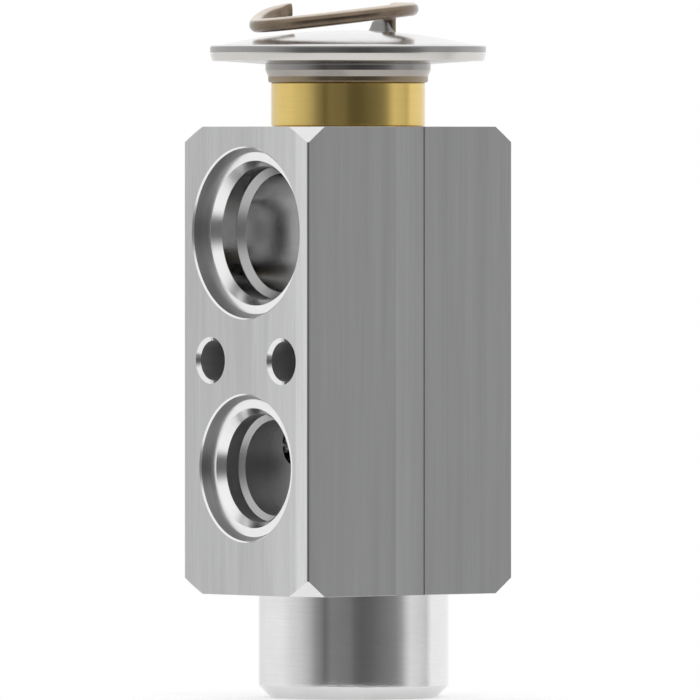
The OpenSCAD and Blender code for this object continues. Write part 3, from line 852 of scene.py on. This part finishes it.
def turned(finish, centre, lying, scale, detail=2.0):
    """Noise that runs round an axis through centre: +Z, or +Y where it is lying."""
    wander = 0.02
    coords = add(finish, "ShaderNodeTexCoord").outputs["Object"]
    moved = add(finish, "ShaderNodeVectorMath", {0: coords, 1: tuple(centre)}, operation="SUBTRACT")
    flat = (1, 0, 1) if lying else (1, 1, 0)
    level = (0, 1, 0) if lying else (0, 0, 1)
    across = add(finish, "ShaderNodeVectorMath", {0: moved.outputs[0], 1: flat}, operation="MULTIPLY")
    reach = add(finish, "ShaderNodeVectorMath", {0: across.outputs[0]}, operation="LENGTH")
    height = add(finish, "ShaderNodeVectorMath", {0: moved.outputs[0], 1: level},
                 operation="DOT_PRODUCT")
    place_on = add(finish, "ShaderNodeCombineXYZ", {
        "X": reach.outputs["Value"], "Y": height.outputs["Value"]})
    bend = add(finish, "ShaderNodeVectorMath", {
        0: moved.outputs[0], 1: (wander, wander, wander)}, operation="MULTIPLY")
    whole = add(finish, "ShaderNodeVectorMath", {0: place_on.outputs[0], 1: bend.outputs[0]},
                operation="ADD")
    grain = add(finish, "ShaderNodeTexNoise", {
        "Vector": whole.outputs[0], "Scale": scale, "Detail": detail, "Roughness": 0.6})
    return grain.outputs["Fac"]


def tone(finish, fac, dark, light, low=0.3, high=0.7):
    """Colour between two shades."""
    ramp = add(finish, "ShaderNodeValToRGB", {"Fac": fac})
    for stop, at, colour in zip(ramp.color_ramp.elements, (low, high), (dark, light)):
        stop.position = at
        stop.color = (*colour, 1)
    return ramp.outputs["Color"]


def between(finish, fac, low, high):
    """Number between two limits, where fac is between 0.3 and 0.7."""
    return add(finish, "ShaderNodeMapRange", {
        "Value": fac, "From Min": 0.3, "From Max": 0.7, "To Min": low, "To Max": high}).outputs[0]


def mixed(finish, fac, first, second, kind="MIX"):
    mix = add(finish, "ShaderNodeMixRGB", {"Fac": fac, "Color1": first, "Color2": second}, blend_type=kind)
    return mix.outputs[0]


def shades(finish, axis, stops, half_width):
    """Painted light and shade: grey that changes along an axis of the Object coordinates,
    by stops in millimetres.
    """
    coords = add(finish, "ShaderNodeTexCoord").outputs["Object"]
    along = add(finish, "ShaderNodeSeparateXYZ", {"Vector": coords}).outputs[axis]
    share = add(finish, "ShaderNodeMapRange", {
        "Value": along, "From Min": -half_width * MM, "From Max": half_width * MM})
    ramp = add(finish, "ShaderNodeValToRGB", {"Fac": share.outputs[0]})
    ends = ramp.color_ramp.elements
    for stop, (at, level) in zip((ends[0], ends[1]), (stops[0], stops[-1])):
        stop.position = (at + half_width) / (2 * half_width)
        stop.color = (*grey(level), 1)
    for at, level in stops[1:-1]:
        ends.new((at + half_width) / (2 * half_width)).color = (*grey(level), 1)
    return ramp.outputs["Color"]


def relief(finish, height, depth, strength):
    bump = add(finish, "ShaderNodeBump", {"Height": height, "Distance": depth, "Strength": strength})
    feed(finish, "Normal", bump.outputs[0])


def grey(value, warm=0.0):
    return (value * (1 + warm), value, value * (1 - warm))


def drawn_aluminium():
    """The plain sides as drawn: dull, with fine streaks along the bar; their darker grey is partly
    the drawn finish and partly painted shade.
    """
    finish = material("drawn_aluminium", grey(0.4), 0.34)
    fine = drawn(finish, (1, 1, 0.012), 4200, 3)
    broad = drawn(finish, (1, 1, 0.03), 420, 2)
    clouds = drawn(finish, (1, 1, 0.5), 90, 3)
    base = tone(finish, broad, grey(0.398, -0.004), grey(0.434, -0.004))
    lines = tone(finish, fine, grey(0.91), grey(1.0), 0.25, 0.75)
    soft = tone(finish, clouds, grey(0.975), grey(1.0))
    # Painted light and shade across the sides' width
    with_painted_light = mixed(finish, 1.0, base, shades(finish, "Y", SIDE_PAINTED_LIGHT, side_half_w), "MULTIPLY")
    tinted = mixed(finish, 1.0, mixed(finish, 1.0, with_painted_light, lines, "MULTIPLY"), soft, "MULTIPLY")
    feed(finish, "Base Color", tinted)
    feed(finish, "Roughness", between(finish, broad, 0.36, 0.32))
    relief(finish, fine, 0.000012, 0.5)
    return finish


def milled_aluminium():
    """The port faces: brighter, with faint upright cutter lines and a painted highlight at the +X edge."""
    finish = material("milled_aluminium", grey(0.68), 0.3)
    fine = drawn(finish, (1, 1, 0.03), 3000, 3)
    broad = drawn(finish, (1, 1, 0.06), 300, 2)
    base = tone(finish, broad, grey(0.70, -0.003), grey(0.79, -0.003))
    lines = tone(finish, fine, grey(0.90), grey(1.0), 0.25, 0.75)
    # Painted highlight towards the faces' +X edge
    with_painted_light = mixed(finish, 1.0, base, shades(finish, "X", FACE_PAINTED_LIGHT, face_half_w), "MULTIPLY")
    feed(finish, "Base Color", mixed(finish, 1.0, with_painted_light, lines, "MULTIPLY"))
    feed(finish, "Roughness", between(finish, fine, 0.34, 0.26))
    relief(finish, fine, 0.000008, 0.5)
    return finish


def cut_metal(name, colour, roughness, centre=(0, 0, 0), lying=False, lines=0.08, scale=5000):
    """Metal off the lathe: fine rings round an axis and a little unevenness."""
    finish = material(name, colour, roughness)
    rings = turned(finish, centre, lying, scale)
    clouds = drawn(finish, (1, 1, 1), 160, 3)
    darker = tuple(c * (1 - lines) for c in colour)
    ringed = tone(finish, rings, darker, colour, 0.25, 0.75)
    soft = tone(finish, clouds, grey(0.94), grey(1.0))
    feed(finish, "Base Color", mixed(finish, 1.0, ringed, soft, "MULTIPLY"))
    feed(finish, "Roughness", between(finish, clouds, roughness * 0.85, roughness * 1.2))
    relief(finish, rings, 0.000006, 0.4)
    return finish


def pressed_steel(name, colour, roughness):
    """Bright pressed sheet, with faint spin lines and a slightly uneven gloss."""
    finish = material(name, colour, roughness)
    rings = turned(finish, (0, 0, 0), False, 1800, 1.0)
    clouds = drawn(finish, (1, 1, 1), 120, 4)
    feed(finish, "Base Color", tone(finish, clouds, tuple(c * 0.93 for c in colour), colour))
    feed(finish, "Roughness", between(finish, clouds, roughness * 0.7, roughness * 1.4))
    relief(finish, rings, 0.000004, 0.25)
    return finish


def drawn_copper():
    """Tube of copper, browned by the heat of brazing, with a painted highlight along its upper side."""
    finish = material("browned_copper", (0.28, 0.21, 0.155), 0.2)
    clouds = drawn(finish, (1, 1, 1), 260, 4)
    specks = drawn(finish, (1, 1, 1), 1500, 3)
    brown = tone(finish, clouds, (0.17, 0.13, 0.095), (0.25, 0.19, 0.14))
    # Painted highlight: paler where the tube's surface faces up
    faces_up = add(finish, "ShaderNodeSeparateXYZ", {
        "Vector": add(finish, "ShaderNodeTexCoord").outputs["Normal"]}).outputs["Z"]
    upper = add(finish, "ShaderNodeMapRange", {
        "Value": faces_up, "From Min": 0.5, "From Max": 0.85}, interpolation_type="SMOOTHSTEP")
    bright = mixed(finish, upper.outputs[0], brown, (0.72, 0.63, 0.54, 1))
    worn = tone(finish, specks, grey(0.92), grey(1.0))
    feed(finish, "Base Color", mixed(finish, 1.0, bright, worn, "MULTIPLY"))
    feed(finish, "Roughness", between(finish, clouds, 0.17, 0.24))
    relief(finish, specks, 0.000004, 0.2)
    return finish


def seal_rubber():
    finish = material("seal_rubber_black", (0.03, 0.032, 0.035), 0.5, 0.0)
    specks = drawn(finish, (1, 1, 1), 2600, 2)
    feed(finish, "Base Color", tone(finish, specks, (0.022, 0.023, 0.026), (0.045, 0.047, 0.05)))
    feed(finish, "Roughness", between(finish, specks, 0.42, 0.6))
    relief(finish, specks, 0.00001, 0.4)
    return finish


drawn_side = drawn_aluminium()
milled_face = milled_aluminium()
turned_bar = cut_metal("turned_aluminium", grey(0.84), 0.07, lines=0.05)
# Drilled aluminium, its grey darkened as painted shade in the outlet's deep bore
drilled_painted_shade = cut_metal("drilled_aluminium", grey(0.42), 0.42)
bolt_bore = cut_metal("bolt_bore", grey(0.7), 0.5)
# Each port's turned aluminium in four greys: wall, shoulder and bore darkened as painted shade, the ledge
# at the mouth lightened as a painted highlight
port_painted_light = [
    [cut_metal(port + "_wall", grey(0.28), 0.4, at, True, 0.1, 3500),
     cut_metal(port + "_ledge", grey(0.93), 0.2, at, True, 0.05, 3500),
     cut_metal(port + "_shoulder", grey(0.48), 0.28, at, True, 0.1, 3500),
     cut_metal(port + "_bore", grey(0.62), 0.2, at, True, 0.12, 3500)]
    for port, at in (("suction", suction), ("outlet", outlet), ("inlet", inlet))]
brass = cut_metal("turned_brass", (0.77, 0.57, 0.19), 0.12, lines=0.05)
dull_brass = cut_metal("machined_brass", (0.72, 0.55, 0.25), 0.3)
rim_steel = pressed_steel("rim_steel", (0.66, 0.64, 0.61), 0.16)
# The neck and the rim's underside: the rim's pressed steel darkened as painted shade, the taper less
neck_painted_shade_steel = pressed_steel("neck_painted_shade_steel", (0.30, 0.29, 0.28), 0.2)
taper_painted_shade_steel = pressed_steel("neck_taper_steel", (0.385, 0.36, 0.33), 0.2)
foot_steel = pressed_steel("neck_foot_steel", (0.31, 0.245, 0.165), 0.3)
dome_steel = pressed_steel("dome_steel", (0.82, 0.82, 0.825), 0.15)
seam_steel = pressed_steel("welded_seam", (0.34, 0.335, 0.33), 0.24)
solder_grey = pressed_steel("solder_grey", (0.26, 0.255, 0.25), 0.3)
foil_steel = pressed_steel("diaphragm_foil", (0.7, 0.7, 0.69), 0.2)
ground_steel = cut_metal("ground_steel", (0.62, 0.62, 0.63), 0.18, lines=0.05)
dark_steel = cut_metal("spring_wire", (0.36, 0.36, 0.38), 0.3, lines=0.05)
polished_steel = pressed_steel("ball_steel_polished", (0.72, 0.72, 0.73), 0.08)
copper = drawn_copper()
rubber = seal_rubber()


def wear(piece, finish):
    """Give a piece one finish all over."""
    piece.data.materials.clear()
    piece.data.materials.append(finish)


def port_zone(depth, seal_l, cone_l, pipe_l, shoulder_l):
    """Which of a port's greys (with their painted light and shade) a face at this depth has:
    wall, ledge, shoulder or bore.
    """
    near = 0.03 * MM
    if depth < burr_l - near:
        return 1
    if depth < seal_l - near:
        return 0
    if depth < seal_l + cone_l - near:
        return 1
    if pipe_l - near < depth < pipe_l + shoulder_l:
        return 2
    return 3


def dress_block(piece):
    """The bar's finishes and painted light and shade, told apart by where a face lies and looks."""
    piece.data.materials.clear()
    for finish in (turned_bar, drawn_side, milled_face, drilled_painted_shade, bolt_bore, *sum(port_painted_light, [])):
        piece.data.materials.append(finish)
    near = 0.02 * MM
    bolt_x = mounts["fixing_holes"]["dims"]["spacing_x_mm"] / 2 * MM
    bolt_r = radius("fixing_holes", "hole_r_mm")
    for face in piece.data.polygons:
        at = face.center
        off_suction = math.hypot(at.x, at.z - suction.z)
        off_outlet = math.hypot(at.x, at.z - outlet.z)
        off_inlet = math.hypot(at.x, at.z - inlet.z)
        off_bolt = math.hypot(abs(at.x) - bolt_x, at.z - bolts.z)
        depth = face_y - abs(at.y)
        off_axis = math.hypot(at.x, at.y)
        on_bar = block_foot + near < at.z < block_top - near
        index = 0
        if depth > near:
            if off_suction < suction_seal_r + burr + near and (
                    abs(at.y) > hub_seal_high.x + near or abs(off_suction - suction_r) < near):
                index = 5 + port_zone(
                    depth, suction_seal_l, suction_cone_l, suction_pipe_l, suction_shoulder_l)
            elif off_outlet < outlet_seal_r + burr + near and at.y < 0 and depth < outlet_l + near:
                zone = port_zone(depth, liquid_seal_l, outlet_cone_l, outlet_pipe_l, outlet_shoulder_l)
                # The outlet's deep bore takes the drilled grey with its painted shade
                index = 3 if zone == 3 else 9 + zone
            elif off_inlet < inlet_seal_r + burr + near and at.y > 0 and depth < inlet_pipe_l + near:
                index = 13 + port_zone(depth, liquid_seal_l, inlet_cone, inlet_pipe_l, 0)
            elif off_bolt < bolt_r + near:
                index = 4
            elif on_bar and abs(face.normal.z) < 0.1 and off_axis > face_x - 2 * channel_t:
                index = 1
        elif abs(face.normal.y) > 0.98:
            index = 2
        face.material_index = index


def dress_shells():
    """Bright rim; neck and rim underside darkened as painted shade, taper a little less; darker brown
    foot;
    and the seam where the shells are welded.
    """
    for piece, finishes in (
            (neck_shell, (rim_steel, neck_painted_shade_steel, foot_steel, taper_painted_shade_steel)),
            (dome_shell, (dome_steel, seam_steel))):
        piece.data.materials.clear()
        for finish in finishes:
            piece.data.materials.append(finish)
    for face in neck_shell.data.polygons:
        off_axis = math.hypot(face.center.x, face.center.y)
        # Painted shade on the neck and under the rim, a little less on the taper; darker brown at the foot
        if off_axis < head_r - rim_lean - 0.6 * MM and face.center.z < rim_z + 0.01 * MM:
            face.material_index = 2 if face.center.z < step_low else 1
            if 0 < face.center.z - step_low < step_h and off_axis > neck_r - 0.1 * MM:
                face.material_index = 3
    for face in dome_shell.data.polygons:
        off_axis = math.hypot(face.center.x, face.center.y)
        if off_axis > head_r - 0.2 * MM and abs(face.normal.z) < 0.5:
            face.material_index = 1


dress_block(block)
dress_shells()
for piece, finish in (
        (collar, brass), (solder, solder_grey),
        (tube, copper), (rod, ground_steel), (screw, dull_brass),
        (coil_foot, dark_steel), (coil_head, dark_steel)):
    wear(piece, finish)
for name, finish in (
        ("hub_seal", rubber), ("rod_seal", rubber), ("adjuster_seal", rubber), ("diaphragm", foil_steel),
        ("diaphragm_plate", dull_brass), ("rod_bush", dull_brass), ("seal_retainer", ground_steel),
        ("orifice_ring", ground_steel), ("valve_ball", polished_steel), ("ball_carrier", dull_brass),
        ("damping_spring", foil_steel), ("spring_plate", dull_brass)):
    for used in frame["nodes"][name].material_slots:
        used.material = finish

for piece, node, body, name in (
        (block, "valve_block", "housing", "block_aluminium"),
        (collar, "power_hub", "housing", "collar_brass"),
        (neck_shell, "lower_shell", "housing", "lower_shell_steel"),
        (dome_shell, "upper_shell", "housing", "upper_shell_steel"),
        (solder, None, "housing", "upper_shell_steel"),
        (tube, "capillary_tube", "housing", "tube_copper"),
        (rod, "sensing_rod", "valve_train", "rod_steel"),
        (screw, "adjusting_screw", "adjuster", "screw_brass"),
        (coil_foot, "control_spring", None, "spring_steel"),
        (coil_head, "control_spring", None, "spring_steel")):
    if node:
        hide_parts(node)
    if body:
        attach(piece, body)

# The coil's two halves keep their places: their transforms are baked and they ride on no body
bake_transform(coil_head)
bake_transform(coil_foot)


# The studio: a white world, a pale floor, and a grey card all round, hidden from the camera
def make_camera():
    lens = bpy.data.cameras.new("camera")
    lens.lens = camera_lens
    lens.sensor_width = 36
    lens.clip_end = 100
    camera = bpy.data.objects.new("camera", lens)
    bpy.context.collection.objects.link(camera)
    camera.location = towards_camera * camera_distance + Vector((0, 0, camera_height))
    aim = to_the_right * aim_right + Vector((0, 0, aim_height))
    camera.rotation_euler = (aim - camera.location).to_track_quat("-Z", "Y").to_euler()
    bpy.context.scene.camera = camera


def seen(finish):
    """1 for rays from the camera, from gloss and through glass, else 0."""
    rays = add(finish, "ShaderNodeLightPath")
    gloss = add(finish, "ShaderNodeMath", {
        0: rays.outputs["Is Camera Ray"], 1: rays.outputs["Is Glossy Ray"]}, operation="MAXIMUM")
    both = add(finish, "ShaderNodeMath", {
        0: gloss.outputs[0], 1: rays.outputs["Is Transmission Ray"]}, operation="MAXIMUM")
    return both.outputs[0]


def make_world():
    world = bpy.data.worlds.new("studio")
    bpy.context.scene.world = world
    world.use_nodes = True
    world.node_tree.nodes["Background"].inputs["Color"].default_value = (1, 1, 1, 1)
    world.node_tree.nodes["Background"].inputs["Strength"].default_value = 1


def make_floor():
    rest_selection()
    bpy.ops.mesh.primitive_circle_add(vertices=96, radius=floor_r, fill_type="NGON")
    floor = bpy.context.object
    floor.name = "floor"
    paper = material("floor_paper", (0.8, 0.8, 0.8), 0.9, 0.0)
    fibres = drawn(paper, (1, 1, 1), 60, 3)
    feed(paper, "Base Color", tone(paper, fibres, grey(0.79), grey(0.81)))
    feed(paper, "Emission Color", tone(paper, seen(paper), grey(0), grey(1), 0, 1))
    paper.node_tree.nodes["Principled BSDF"].inputs["Emission Strength"].default_value = floor_glow
    wear(floor, paper)


def make_card():
    """Round card, darkest on the camera's side, which the metal mirrors."""
    rest_selection()
    bpy.ops.mesh.primitive_cylinder_add(
        vertices=180, radius=card_r, depth=card_h, end_fill_type="NOTHING")
    card = bpy.context.object
    card.name = "card"
    card.visible_camera = False
    only(card)
    bpy.ops.object.transform_apply(location=True, rotation=True, scale=True)
    grey_card = bpy.data.materials.new("card_grey")
    grey_card.use_nodes = True
    nodes = grey_card.node_tree.nodes
    nodes.remove(nodes["Principled BSDF"])
    coords = add(grey_card, "ShaderNodeTexCoord").outputs["Object"]
    front = add(grey_card, "ShaderNodeVectorMath", {0: coords, 1: tuple(towards_camera)},
                operation="DOT_PRODUCT")
    right = add(grey_card, "ShaderNodeVectorMath", {0: coords, 1: tuple(to_the_right)},
                operation="DOT_PRODUCT")
    angle = add(grey_card, "ShaderNodeMath", {
        0: right.outputs["Value"], 1: front.outputs["Value"]}, operation="ARCTAN2")
    around = add(grey_card, "ShaderNodeMapRange", {
        "Value": angle.outputs[0], "From Min": -math.pi, "From Max": math.pi})
    ramp = add(grey_card, "ShaderNodeValToRGB", {"Fac": around.outputs[0]})
    stops = ramp.color_ramp.elements
    stops[0].position = 0
    stops[0].color = (*grey(1), 1)
    stops[1].position = 1
    stops[1].color = (*grey(1), 1)
    for degrees, tint in CARD_LEVELS:
        stops.new((degrees + 180) / 360).color = (*grey(tint), 1)
    level = add(grey_card, "ShaderNodeSeparateXYZ", {"Vector": coords}).outputs["Z"]
    above, below = (
        add(grey_card, "ShaderNodeMapRange", {
            "Value": level, "From Min": start, "From Max": end}, interpolation_type="SMOOTHSTEP")
        for start, end in (fade_above, fade_below))
    fade = add(grey_card, "ShaderNodeMath", {
        0: above.outputs[0], 1: below.outputs[0]}, operation="MAXIMUM")
    glow = add(grey_card, "ShaderNodeEmission", {"Color": ramp.outputs["Color"]})
    clear = add(grey_card, "ShaderNodeBsdfTransparent")
    both = add(grey_card, "ShaderNodeMixShader", {
        0: fade.outputs[0], 1: glow.outputs[0], 2: clear.outputs[0]})
    grey_card.node_tree.links.new(both.outputs[0], nodes["Material Output"].inputs["Surface"])
    wear(card, grey_card)


make_camera()
make_world()
make_floor()
make_card()
bpy.context.scene.view_settings.view_transform = "Standard"
